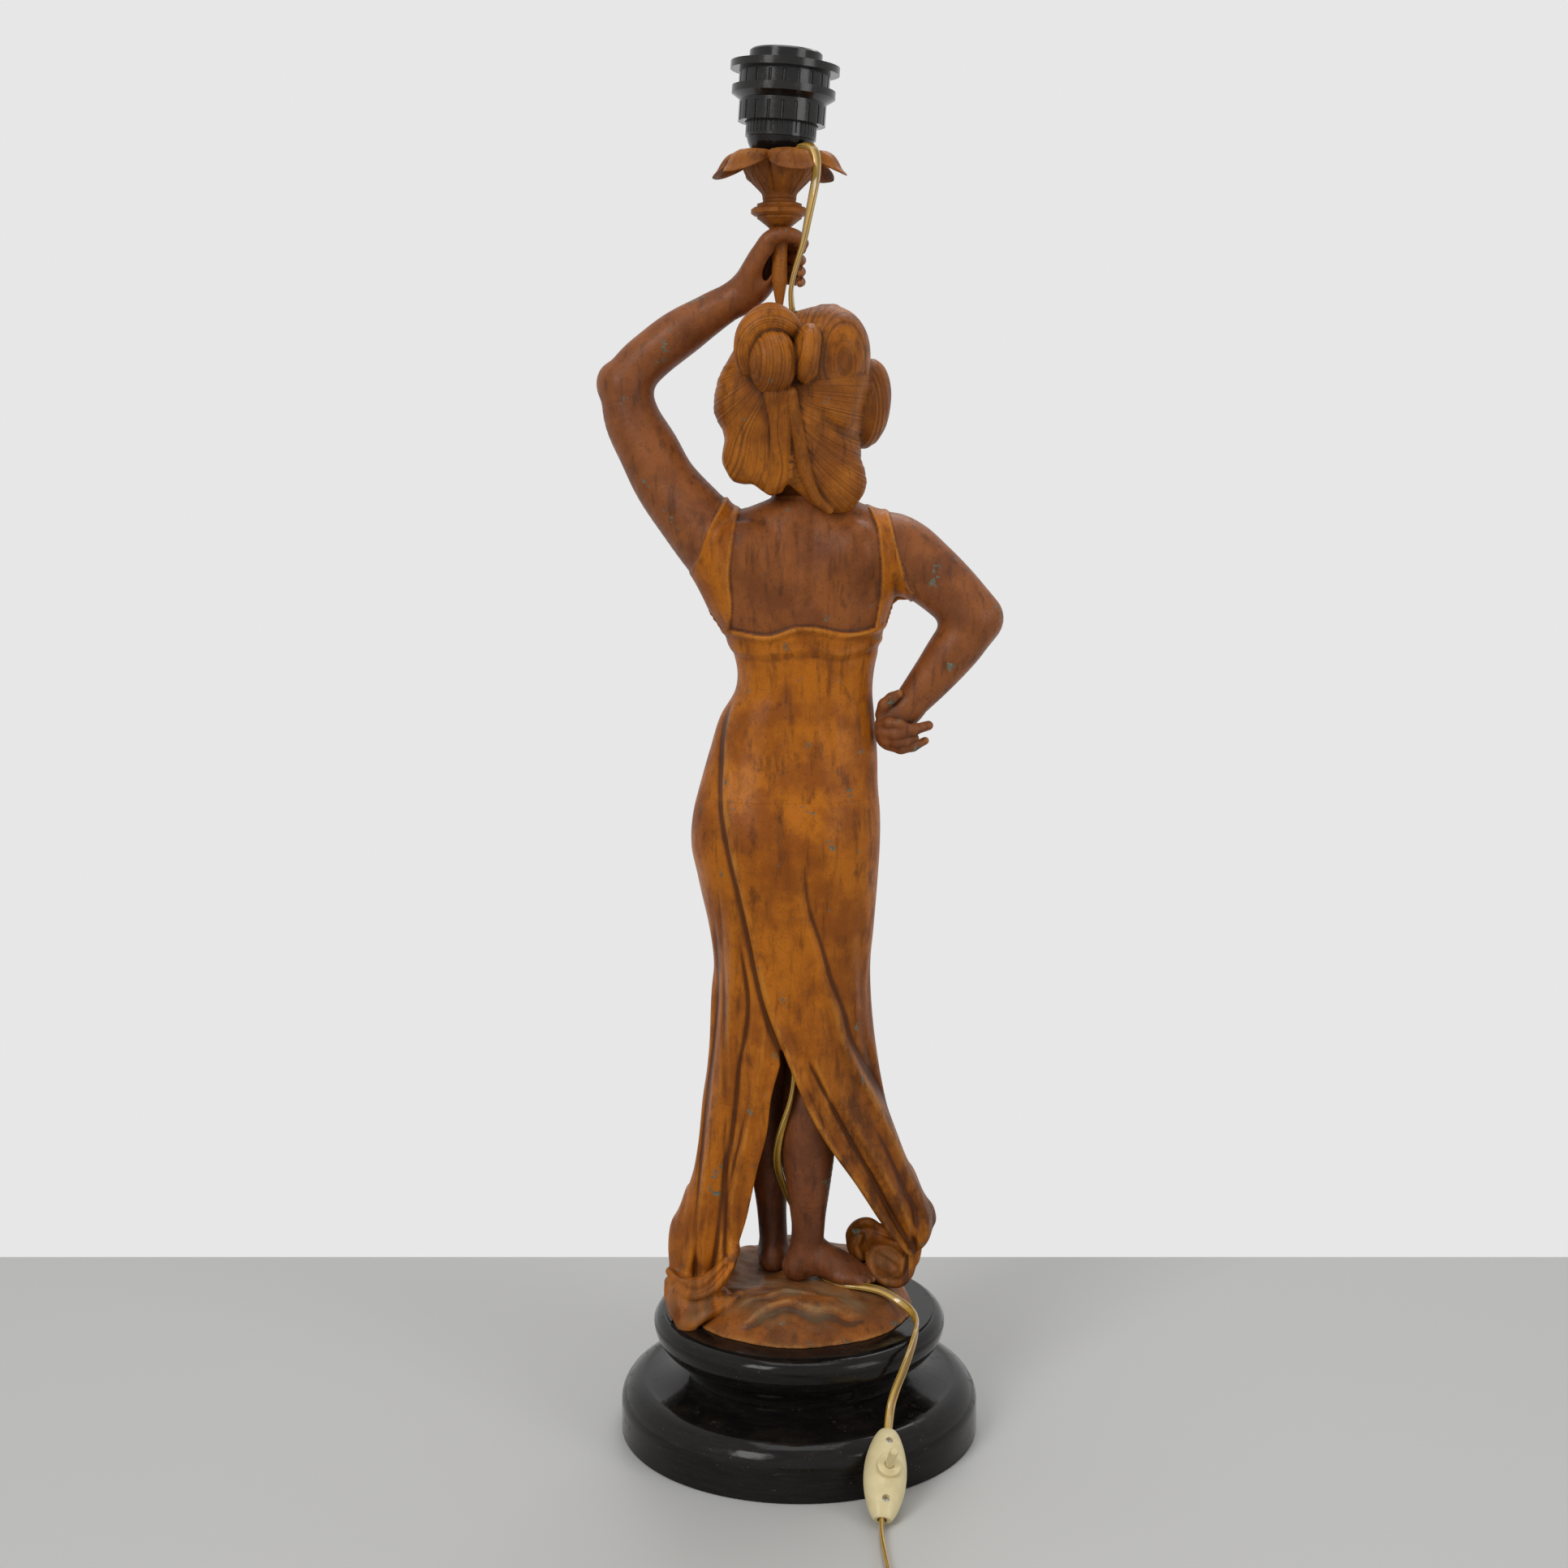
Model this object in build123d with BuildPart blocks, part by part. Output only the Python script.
from build123d import *
import math
import os

os.makedirs("parts", exist_ok=True)

# ---------------------------------------------------------------------------
# Driving dimensions, in millimetres and degrees.
# The origin is the centre of the plinth's underside. The figure's back faces -Y.
# ---------------------------------------------------------------------------

# Plinth: two turned discs of ebonised wood on a felt pad
plinth_height = 74.0
foot_radius = 106.0
foot_edge_height = 17.0
groove_radius = 92.9
groove_height = 32.5
bell_radius = 89.5
neck_radius = 68.0
neck_height = 39.0
swell_radius = 78.0
swell_height = 51.0
rim_radius = 86.0
rim_edge_height = 64.0
bead_radius = 79.5
bead_height = 1.0
felt_radius = 98.0
felt_thickness = 1.5
felt_recess = 1.0
felt_clearance = 0.4

# Stud that holds the mound to the plinth
stud_radius = 4.0
stud_clearance = 0.4
stud_foot = 4.0
washer_radius = 12.0
washer_thickness = 2.0
nut_across_flats = 13.0
nut_height = 6.5
nut_pocket_radius = 14.0
nut_pocket_top = 14.0

# Castings
casting_wall = 4.0
mound_radius = 66.0
mound_height = 18.0
mound_boss_radius = 10.0
skirt_hem = 131.0
waist_joint = 308.0

# Torch, measured up from the plinth's top face
torch_x = -11.5
torch_foot = 583.0
handle_top = 623.0
knop_top = 640.0
handle_foot_radius = 2.0
handle_radius = 4.3
shaft_radius = 5.0
knop_radius = 15.75
knop_step_radius = 12.4
neck_joint_radius = 9.2
spigot_radius = 3.0
spigot_length = 8.0
cup_height = 24.0
cup_radius = 20.3
cup_wall = 2.0
petal_count = 6
petal_reach = 36.0
petal_thickness = 1.9
first_notch_angle = -105.0

# Lampholder for a bulb with a 27 mm screw cap
holder_seat = 664.0
holder_tilt = 4.0
nipple_radius = 5.0
nipple_bore = 3.4
nipple_drop = 23.5
nipple_clearance = 0.3
nipple_nut_across_flats = 14.0
nipple_nut_height = 3.0
cap_band_radius = 19.5
cap_band_height = 7.5
cap_height = 16.0
cap_wall = 2.3
cap_rib_count = 44
skirt_radius = 20.0
skirt_thread_radius = 19.7
skirt_collar_height = 5.6
skirt_chamfer = 1.0
skirt_top = 55.0
skirt_mouth_radius = 16.6
skirt_bore = 14.4
insert_radius = 14.0
insert_height = 10.5
insert_well_depth = 5.5
insert_rim = 2.0
shell_inner_radius = 13.1
shell_wall = 0.5
shell_height = 22.0
ring_clearance = 0.3
ring_lower_height = 18.7
ring_lower_barrel_radius = 24.0
ring_lower_flange_radius = 28.5
ring_upper_height = 12.5
ring_upper_barrel_radius = 25.0
ring_upper_flange_radius = 30.0
ring_flange_thickness = 4.0
ring_rib_count = 20

# Flat twin cord: as wide as this and half as thick, so its round envelope is this wide
cord_width = 5.0
cord_hole_radius = 3.4

# In-line push switch
switch_length = 55.0
switch_width = 24.0
switch_thickness = 18.0
switch_wall = 2.2
switch_tilt = 32.0
switch_heading = 6.0
switch_roll = 13.0
switch_centre = (46.8, -109.4, 19.0)
collar_radius = 6.8
collar_height = 3.0
collar_bush_radius = 4.4
button_radius = 2.4
button_length = 14.0
button_travel = 3.0
button_clearance = 0.3
switch_screw_spacing = 36.0

# Coil of spare cord with its tie, and the flat two-pin plug
coil_pitch = 5.6
coil_layer_step = 5.6
coil_inner_radius = 16.6
coil_half_turns = 7
tie_width = 4.0
tie_thickness = 0.8
tie_clearance = 0.2
plug_back = (-18.0, -291.0)
plug_width = 35.3
plug_thickness = 13.7
plug_depth = 36.0
plug_back_width = 14.0
plug_pin_radius = 2.0
plug_pin_length = 19.0
plug_pin_spacing = 18.6
plug_relief_length = 22.0

cord_radius = cord_width / 2
plain_outline_points = 8
folded_outline_points = 18


def level(height):
    """Height above the table of something measured from the plinth's top face."""
    return plinth_height + height


# ---------------------------------------------------------------------------
# Shapes that several pieces share
# ---------------------------------------------------------------------------


def turned(frame, outline, mode=Mode.ADD):
    """Turn an outline of (radius, height) points about the frame's own Z axis."""
    with BuildSketch(Plane(origin=frame.origin, x_dir=frame.x_dir, z_dir=-frame.y_dir)) as half:
        with BuildLine():
            Polyline(*outline, close=True)
        make_face()
    revolve(half.sketch, axis=Axis(frame.origin, frame.z_dir), mode=mode)


def oval_face(frame, half_width, half_depth, ripple=0.0, lobes=5, phase=0.0):
    """A smooth closed outline about the frame's origin; ripple adds that many folds to it."""
    points = []
    count = folded_outline_points if ripple else plain_outline_points
    for step in range(count):
        angle = 2 * math.pi * step / count
        swell = 1 + ripple * math.cos(lobes * angle + phase)
        points.append((half_width * swell * math.cos(angle), half_depth * swell * math.sin(angle)))
    with BuildSketch(frame) as outline:
        with BuildLine():
            Spline(*points, periodic=True)
        make_face()
    return outline.sketch.face()


def level_loft(stations, inset=0.0, ripple=0.0, lobes=5, phase=0.0, mode=Mode.ADD):
    """Loft level ovals given as height above the plinth, centre x, centre y, half width, half depth."""
    faces = []
    for height, x, y, half_width, half_depth in stations:
        frame = Plane(origin=(x, y, level(height)))
        faces.append(oval_face(frame, half_width - inset, half_depth - inset, ripple, lobes, phase))
    loft(sections=faces, mode=mode)


def limb(stations, across=(0, 1, 0), inset=0.0, balls=(0, -1), mode=Mode.ADD):
    """Loft round sections square to the line through their centres, given as x, y, height, radius.

    Balls round off the ends that are listed."""
    centres = [Vector(x, y, level(height)) for x, y, height, _ in stations]
    radii = [radius - inset for _, _, _, radius in stations]
    faces = []
    for index, centre in enumerate(centres):
        before = centres[max(index - 1, 0)]
        after = centres[min(index + 1, len(centres) - 1)]
        with BuildSketch(Plane(origin=centre, x_dir=across, z_dir=after - before)) as section:
            Circle(radii[index])
        faces.append(section.sketch.face())
    loft(sections=faces, mode=mode)
    for end in balls:
        with Locations(centres[end]):
            Sphere(radii[end] * 0.995, mode=mode)


def ellipsoid(centre, radii, mode=Mode.ADD):
    """An oval ball given by its centre, with the height above the plinth, and its three radii."""
    x, y, height = centre
    with BuildPart(mode=Mode.PRIVATE) as ball:
        Sphere(1)
        scale(by=radii)
    with Locations((x, y, level(height))):
        add(ball.part, mode=mode)


def keep_largest(piece):
    """Drop the loose crumbs that a cut leaves behind."""
    add(piece.solids().sort_by(SortBy.VOLUME)[-1], mode=Mode.REPLACE)


def finish(piece, name):
    """Name a finished piece and write it."""
    piece.part.label = name
    export_step(piece.part, f"parts/{name}.step")


# ---------------------------------------------------------------------------
# Plinth
# ---------------------------------------------------------------------------

foot_lift = felt_thickness - felt_recess
stud_hole_radius = stud_radius + stud_clearance
felt_seat_radius = felt_radius + felt_clearance

with BuildPart() as plinth_lower:
    with BuildSketch(Plane.XZ):
        with BuildLine():
            Polyline(
                (groove_radius, groove_height),
                (stud_hole_radius, groove_height),
                (stud_hole_radius, nut_pocket_top),
                (nut_pocket_radius, nut_pocket_top),
                (nut_pocket_radius, felt_thickness),
                (felt_seat_radius, felt_thickness),
                (felt_seat_radius, foot_lift),
                (foot_radius, foot_lift),
                (foot_radius, foot_edge_height),
            )
            ovolo_out = foot_radius - 0.28 * (foot_radius - groove_radius)
            ovolo_up = foot_edge_height + 0.68 * (groove_height - foot_edge_height)
            ThreePointArc(
                (foot_radius, foot_edge_height), (ovolo_out, ovolo_up), (groove_radius, groove_height)
            )
        make_face()
    revolve(axis=Axis.Z)
finish(plinth_lower, "plinth_lower")

with BuildPart() as plinth_upper:
    with BuildSketch(Plane.XZ):
        with BuildLine():
            Polyline(
                (bead_radius, plinth_height),
                (stud_hole_radius, plinth_height),
                (stud_hole_radius, groove_height),
                (bell_radius, groove_height),
            )
            ThreePointArc(
                (bell_radius, groove_height),
                ((bell_radius + neck_radius) / 2 - 1.5, (groove_height + neck_height) / 2 - 1.0),
                (neck_radius, neck_height),
            )
            ThreePointArc(
                (neck_radius, neck_height),
                ((neck_radius + swell_radius) / 2 - 2.4, (neck_height + swell_height) / 2 + 1.6),
                (swell_radius, swell_height),
            )
            ThreePointArc(
                (swell_radius, swell_height),
                ((swell_radius + rim_radius) / 2 + 1.2, (swell_height + rim_edge_height) / 2 - 1.0),
                (rim_radius, rim_edge_height),
            )
            ThreePointArc(
                (rim_radius, rim_edge_height),
                (rim_radius - 0.9, (rim_edge_height + plinth_height) / 2 + 1.2),
                (bead_radius + 1.5, plinth_height - bead_height),
            )
            Polyline(
                (bead_radius + 1.5, plinth_height - bead_height),
                (bead_radius, plinth_height - bead_height),
                (bead_radius, plinth_height),
            )
        make_face()
    revolve(axis=Axis.Z)
finish(plinth_upper, "plinth_upper")

with BuildPart() as felt_pad:
    Cylinder(felt_radius, felt_thickness, align=(Align.CENTER, Align.CENTER, Align.MIN))
finish(felt_pad, "felt_pad")

with BuildPart() as base_washer:
    with BuildSketch(Plane.XY.offset(nut_pocket_top - washer_thickness)):
        Circle(washer_radius)
        Circle(stud_hole_radius, mode=Mode.SUBTRACT)
    extrude(amount=washer_thickness)
finish(base_washer, "base_washer")

nut_foot = nut_pocket_top - washer_thickness - nut_height
with BuildPart() as base_nut:
    with BuildSketch(Plane.XY.offset(nut_foot)):
        RegularPolygon(nut_across_flats / 2, 6, major_radius=False)
        Circle(stud_radius, mode=Mode.SUBTRACT)
    extrude(amount=nut_height)
finish(base_nut, "base_nut")

stud_head = level(mound_height - casting_wall - 3)
with BuildPart() as base_stud:
    with Locations((0, 0, stud_foot)):
        Cylinder(stud_radius, stud_head - stud_foot, align=(Align.CENTER, Align.CENTER, Align.MIN))
    chamfer(base_stud.edges().filter_by(GeomType.CIRCLE), 0.8)
finish(base_stud, "base_stud")

# ---------------------------------------------------------------------------
# Cord routes: points chosen by hand, in millimetres
# ---------------------------------------------------------------------------

upper_route = [
    (-4.8, -8.0, 740.6),
    (3.5, -17.3, 742.3),
    (8.6, -22.0, 736.5),
    (8.8, -23.6, 725.5),
    (6.5, -23.8, 713.5),
    (4.2, -23.2, 702.5),
    (1.8, -22.0, 690.0),
    (-1.8, -20.4, 679.0),
    (-4.6, -18.0, 669.5),
    (-5.4, -15.6, 661.0),
    (-4.5, -14.0, 653.0),
]
inner_route = [
    (-4.5, -14.0, 653.0),
    (0.675, -4.8, 607.0),
    (1.5, -4.0, 552.0),
    (2.5, -1.0, 492.0),
    (1.5, 1.0, 430.0),
    (-2.0, 0.0, 370.0),
    (-5.0, -8.0, 312.0),
    (-4.5, -19.5, 262.0),
    (-3.5, -25.0, 230.0),
]
lower_route = [
    (-3.5, -25.0, 230.0),
    (-3.2, -26.65, 220.4),
    (-5.0, -26.0, 207.0),
    (-9.0, -24.0, 194.5),
    (-12.4, -19.5, 181.0),
    (-13.4, -12.0, 166.0),
    (-10.5, -3.0, 151.0),
    (-5.0, 5.0, 135.0),
    (3.0, 9.5, 118.0),
    (9.5, 7.0, 103.0),
    (13.0, -2.0, 93.5),
    (17.5, -12.0, 93.0),
    (26.5, -19.0, 93.5),
    (38.0, -22.0, 93.5),
    (49.0, -21.0, 90.5),
    (58.5, -24.5, 85.5),
    (66.0, -33.0, 82.5),
    (67.5, -47.0, 81.0),
    (66.0, -60.0, 81.0),
    (63.0, -69.5, 75.5),
    (58.6, -73.2, 64.5),
    (53.8, -71.6, 51.5),
    (50.35, -75.7, 40.2),
    (48.8, -90.8, 30.7),
]
lead_route = [
    (44.5, -128.6, 7.0),
    (43.9, -134.2, 3.5),
    (43.5, -142.0, 2.6),
    (43.7, -158.0, 2.6),
    (45.0, -180.0, 2.6),
    (46.6, -201.0, 2.9),
    (47.0, -219.0, 3.5),
    (47.0, -235.0, 3.5),
]


def corner_radii(points):
    """The largest arc that each corner's two runs allow."""
    places = [Vector(*point) for point in points]
    radii = []
    for before, corner, after in zip(places, places[1:], places[2:]):
        arriving = corner - before
        leaving = after - corner
        half_turn = math.radians(arriving.get_angle(leaving)) / 2
        radii.append(0.45 * min(arriving.length, leaving.length) / math.tan(half_turn))
    return radii


def cord_piece(points, name):
    """A free stretch of cord: straight runs joined by arcs, swept with its round envelope."""
    radii = corner_radii(points)
    with BuildPart() as piece:
        with BuildLine(mode=Mode.PRIVATE):
            route = FilletPolyline(*points, radius=radii)
        with BuildSketch(Plane(origin=route @ 0, z_dir=route % 0)) as section:
            Circle(cord_radius)
        sweep(sections=section.sketch, path=route)
    swept = math.pi * cord_radius**2 * route.length
    print(name, "length", round(route.length, 1), "volume ratio", round(piece.part.volume / swept, 4))
    print(name, "radii", [round(radius, 1) for radius in radii])
    finish(piece, name)
    return piece


def clear_route(points, radius, mode=Mode.SUBTRACT):
    """Cut a round way for the cord along straight runs, with a ball at each corner."""
    places = [Vector(*point) for point in points]
    for start, end in zip(places, places[1:]):
        way = end - start
        with Locations(Plane(origin=start, z_dir=way)):
            Cylinder(radius, way.length, align=(Align.CENTER, Align.CENTER, Align.MIN), mode=mode)
    for corner in places[1:-1]:
        with Locations(corner):
            Sphere(radius * 1.001, mode=mode)


cord_upper = cord_piece(upper_route, "cord_upper")
cord_inner = cord_piece(inner_route, "cord_inner")
cord_lower = cord_piece(lower_route, "cord_lower")
cord_lead = cord_piece(lead_route, "cord_lead")

# ---------------------------------------------------------------------------
# Rocky mound that the figure stands on: a hollow casting with a boss for the stud
# ---------------------------------------------------------------------------

mound_stations = [
    (0.0, mound_radius, 0.030),
    (0.55 * mound_height, 0.95 * mound_radius, 0.040),
    (0.85 * mound_height, 0.80 * mound_radius, 0.045),
    (mound_height, 0.58 * mound_radius, 0.045),
]


def mound_face(height, radius, ripple):
    return oval_face(Plane(origin=(0, 0, level(height))), radius, radius, ripple, 5, 0.7)


with BuildPart() as mound_form:
    loft(sections=[mound_face(*station) for station in mound_stations])

with BuildPart() as mound_casting:
    add(mound_form.part)
    loft(
        sections=[
            mound_face(height - casting_wall * (height > 0), radius - casting_wall, ripple)
            for height, radius, ripple in mound_stations
        ],
        mode=Mode.SUBTRACT,
    )
    with Locations((0, 0, plinth_height)):
        Cylinder(
            mound_boss_radius,
            mound_height - casting_wall / 2,
            align=(Align.CENTER, Align.CENTER, Align.MIN),
        )
        Cylinder(
            stud_radius,
            stud_head - plinth_height,
            align=(Align.CENTER, Align.CENTER, Align.MIN),
            mode=Mode.SUBTRACT,
        )
    clear_route(lower_route[9:17], cord_hole_radius + 0.4)
finish(mound_casting, "mound_casting")

# ---------------------------------------------------------------------------
# Legs and feet
# ---------------------------------------------------------------------------

right_leg_stations = [
    (12.0, 0.0, 176.0, 16.0),
    (8.0, -4.5, 154.0, 15.6),
    (5.8, -9.0, 126.0, 15.8),
    (5.2, -10.4, 98.0, 15.2),
    (4.8, -11.4, 77.0, 12.4),
    (4.5, -10.6, 58.0, 10.6),
    (3.0, -9.0, 40.0, 9.8),
    (0.5, -7.0, 29.0, 10.6),
]
right_foot_stations = [
    (-8.0, -5.0, 27.5, 8.0),
    (2.0, -5.5, 31.0, 10.5),
    (14.0, -5.5, 31.0, 9.5),
    (28.0, -4.0, 26.0, 8.6),
    (42.0, -1.0, 21.0, 8.6),
    (54.0, 3.0, 18.5, 7.0),
]
with BuildPart() as right_leg_casting:
    limb(right_leg_stations)
    limb(right_foot_stations)
    limb([(-6.0, -4.0, 26.0, 6.5), (-5.0, -3.0, 14.0, 6.0)])
    limb([(40.0, -2.0, 20.0, 7.0), (41.0, -2.0, 12.0, 6.5)])
    limb(right_leg_stations[:-2], inset=casting_wall, balls=(), mode=Mode.SUBTRACT)
    add(mound_form.part, mode=Mode.SUBTRACT)
    clear_route(lower_route[3:14], cord_hole_radius)
    keep_largest(right_leg_casting)
finish(right_leg_casting, "right_leg_casting")

left_leg_stations = [
    (-21.0, 7.0, 176.0, 15.0),
    (-20.0, 9.0, 150.0, 14.8),
    (-18.5, 11.5, 120.0, 14.4),
    (-18.0, 12.5, 98.0, 13.0),
    (-17.0, 13.0, 73.0, 10.6),
    (-15.5, 13.5, 50.0, 8.6),
    (-15.0, 13.0, 30.0, 8.8),
]
left_foot_stations = [
    (-15.0, 5.0, 26.0, 7.2),
    (-15.0, 14.0, 28.0, 9.0),
    (-15.0, 28.0, 24.0, 9.5),
    (-14.0, 44.0, 18.5, 8.5),
    (-13.0, 56.0, 14.5, 5.5),
]
with BuildPart() as left_leg_casting:
    limb(left_leg_stations, across=(1, 0, 0))
    limb(left_foot_stations, across=(1, 0, 0))
    limb([(-15.0, 8.0, 24.0, 6.5), (-15.0, 8.0, 14.0, 6.0)], across=(1, 0, 0))
    limb(left_leg_stations[:-2], across=(1, 0, 0), inset=casting_wall, balls=(), mode=Mode.SUBTRACT)
    add(mound_form.part, mode=Mode.SUBTRACT)
    add(right_leg_casting.part, mode=Mode.SUBTRACT)
    clear_route(lower_route[3:10], cord_hole_radius)
    keep_largest(left_leg_casting)
finish(left_leg_casting, "left_leg_casting")

# ---------------------------------------------------------------------------
# Skirt: a hollow casting slit at the back and front, with a fall of drapery at each side
# ---------------------------------------------------------------------------

skirt_stations = [
    (waist_joint, -6.5, -2.0, 51.5, 39.0),
    (279.0, -8.0, -3.0, 54.0, 42.0),
    (250.0, -5.5, -2.0, 50.5, 40.0),
    (221.0, -4.5, -1.0, 46.5, 37.0),
    (192.0, -4.0, 0.0, 45.0, 35.0),
    (163.0, -4.0, 0.0, 47.0, 35.0),
    (skirt_hem, -3.0, 1.0, 52.5, 37.0),
]
slit_apex = 166.0
with BuildPart() as skirt_casting:
    level_loft(skirt_stations)
    level_loft(skirt_stations, inset=casting_wall, mode=Mode.SUBTRACT)
    with BuildSketch(Plane.XZ):
        with BuildLine():
            Polyline(
                (-11.0, level(slit_apex)),
                (-18.5, level(skirt_hem - 1)),
                (7.5, level(skirt_hem - 1)),
                close=True,
            )
        make_face()
    extrude(amount=2 * mound_radius, both=True, mode=Mode.SUBTRACT)
finish(skirt_casting, "skirt_casting")

left_fall_stations = [
    (skirt_hem, -36.0, 1.0, 18.5, 31.5),
    (108.0, -40.0, 0.0, 19.5, 26.0),
    (84.0, -46.5, -2.0, 17.5, 22.0),
    (64.0, -51.5, -4.0, 18.5, 21.0),
    (44.0, -55.0, -6.0, 19.5, 22.0),
    (26.0, -58.0, -9.0, 19.0, 24.0),
    (0.0, -58.0, -11.0, 16.0, 22.0),
]
with BuildPart() as left_fall:
    level_loft(left_fall_stations, ripple=0.06, lobes=6, phase=0.4)
    level_loft(left_fall_stations[:-2], inset=casting_wall, mode=Mode.SUBTRACT)
    ellipsoid((-57.0, -26.0, 12.0), (21.0, 20.0, 15.0))
    ellipsoid((-47.0, -24.0, 25.0), (12.0, 11.0, 8.0))
    split(bisect_by=Plane.XY.offset(plinth_height), keep=Keep.TOP)
    add(mound_form.part, mode=Mode.SUBTRACT)
    add(left_leg_casting.part, mode=Mode.SUBTRACT)
    keep_largest(left_fall)
finish(left_fall, "left_drapery")

right_fall_stations = [
    (skirt_hem, 27.5, 1.0, 21.5, 31.5),
    (108.0, 37.0, 0.0, 19.5, 27.0),
    (84.0, 48.0, 0.0, 18.0, 24.0),
    (64.0, 57.5, 0.0, 16.5, 22.0),
    (50.0, 63.5, 0.0, 15.0, 20.0),
    (38.0, 67.5, 1.0, 10.5, 17.0),
    (24.0, 62.0, 2.0, 9.0, 14.0),
    (4.0, 56.0, 3.0, 7.5, 10.0),
]
with BuildPart() as right_fall:
    level_loft(right_fall_stations, ripple=0.06, lobes=6, phase=1.2)
    level_loft(right_fall_stations[:-3], inset=casting_wall, mode=Mode.SUBTRACT)
    limb(
        [
            (33.0, 18.0, 40.0, 7.0),
            (42.0, 12.0, 46.0, 8.0),
            (54.0, 5.0, 40.0, 8.5),
            (63.0, -3.0, 28.0, 8.0),
            (60.0, -8.0, 18.0, 7.0),
        ]
    )
    split(bisect_by=Plane.XY.offset(plinth_height), keep=Keep.TOP)
    add(mound_form.part, mode=Mode.SUBTRACT)
    add(right_leg_casting.part, mode=Mode.SUBTRACT)
    clear_route(lower_route[12:18], cord_hole_radius)
    keep_largest(right_fall)
finish(right_fall, "right_drapery")

# ---------------------------------------------------------------------------
# Torso with its bodice and shoulder straps
# ---------------------------------------------------------------------------

torso_stations = [
    (waist_joint, -6.5, -2.0, 51.5, 39.0),
    (336.0, -4.0, -2.0, 46.5, 35.0),
    (363.0, 0.5, -1.0, 39.5, 30.5),
    (380.0, 3.2, 0.0, 38.0, 29.0),
    (398.0, 2.5, 0.0, 42.5, 31.0),
    (406.0, 1.6, 0.0, 45.4, 32.1),
    (416.0, 0.5, 0.0, 49.5, 33.5),
    (436.0, 0.5, 0.0, 54.0, 33.0),
    (454.0, 2.0, -1.0, 54.0, 29.0),
    (466.0, 4.0, -1.0, 45.0, 24.5),
    (474.0, 5.0, -1.0, 32.0, 21.0),
    (480.0, 5.0, -1.0, 22.0, 19.0),
]
bodice_relief = 2.0
left_strap = [
    (-42.0, -10.0, 402.0, 5.0),
    (-49.0, -12.0, 434.0, 5.0),
    (-46.0, -9.0, 456.0, 5.0),
    (-37.0, -5.0, 473.0, 4.0),
]
right_strap = [
    (46.0, -10.0, 402.0, 5.0),
    (52.0, -12.0, 434.0, 5.0),
    (50.0, -9.0, 456.0, 5.0),
    (43.0, -5.0, 471.0, 4.0),
]
drill_line = inner_route[:4]
with BuildPart() as torso_form:
    level_loft(torso_stations)
    level_loft(torso_stations[:6], inset=-bodice_relief)
    ellipsoid((-22.0, 24.0, 424.0), (20.0, 17.0, 20.0))
    ellipsoid((24.0, 24.0, 424.0), (20.0, 17.0, 20.0))
    limb(left_strap)
    limb(right_strap)

with BuildPart() as torso_casting:
    add(torso_form.part)
    level_loft(torso_stations[:-3], inset=casting_wall, mode=Mode.SUBTRACT)
    clear_route(drill_line, cord_hole_radius + 1)
finish(torso_casting, "torso_casting")

# ---------------------------------------------------------------------------
# Head and hair
# ---------------------------------------------------------------------------

head_stations = [
    (480.0, 5.0, -1.0, 19.0, 18.0),
    (490.0, 4.5, -1.0, 17.5, 17.0),
    (498.0, 4.0, 2.0, 18.0, 20.0),
    (507.0, 4.0, 6.0, 21.0, 25.5),
    (518.0, 4.0, 5.0, 25.5, 31.0),
    (530.0, 4.0, 3.0, 27.5, 34.0),
    (545.0, 4.0, 1.0, 28.5, 35.0),
    (558.0, 4.0, 0.0, 26.0, 32.0),
    (569.0, 4.0, 0.0, 16.0, 21.0),
]
with BuildPart() as head_form:
    level_loft(head_stations)
    limb([(4.0, 33.0, 533.0, 2.4), (4.0, 36.0, 526.0, 3.2), (4.0, 37.0, 521.0, 3.9)], across=(1, 0, 0))
    ellipsoid((4.0, 28.5, 500.5), (7.0, 6.0, 5.0))
    ellipsoid((4.0, 31.5, 511.0), (8.0, 5.0, 2.6))

with BuildPart() as head_casting:
    add(head_form.part)
    level_loft(head_stations[3:], inset=casting_wall, mode=Mode.SUBTRACT)
    add(torso_form.part, mode=Mode.SUBTRACT)
    clear_route(drill_line, cord_hole_radius + 1)
    keep_largest(head_casting)
finish(head_casting, "head_casting")

hair_stations = [
    (474.0, 10.0, -21.0, 14.0, 7.0),
    (481.0, 5.0, -19.0, 31.0, 13.0),
    (488.0, 0.0, -15.0, 38.0, 19.0),
    (500.0, -1.5, -9.0, 38.5, 29.0),
    (514.0, 0.0, -6.0, 44.0, 35.0),
    (528.0, 1.5, -5.0, 49.0, 38.0),
    (542.0, 2.0, -4.0, 47.5, 39.0),
    (554.0, 2.0, -3.0, 42.0, 38.0),
    (566.0, 3.0, -3.0, 36.0, 34.0),
    (574.0, 8.0, -3.0, 28.0, 26.0),
    (580.0, 13.0, -3.0, 17.0, 15.0),
]
with BuildPart() as hair_casting:
    level_loft(hair_stations)
    ellipsoid((-10.5, -38.0, 558.0), (23.5, 21.0, 24.5))
    ellipsoid((-15.0, -49.0, 550.0), (13.0, 12.0, 18.0))
    level_loft(hair_stations[3:-2], inset=casting_wall + 2, mode=Mode.SUBTRACT)
    ellipsoid((4.0, 44.0, 522.0), (23.5, 34.0, 34.0), mode=Mode.SUBTRACT)
    add(head_form.part, mode=Mode.SUBTRACT)
    add(torso_form.part, mode=Mode.SUBTRACT)
    clear_route(drill_line, cord_hole_radius + 1)
    keep_largest(hair_casting)
finish(hair_casting, "hair_casting")

# ---------------------------------------------------------------------------
# Torch: handle, knop and leaf cup
# ---------------------------------------------------------------------------

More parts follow.
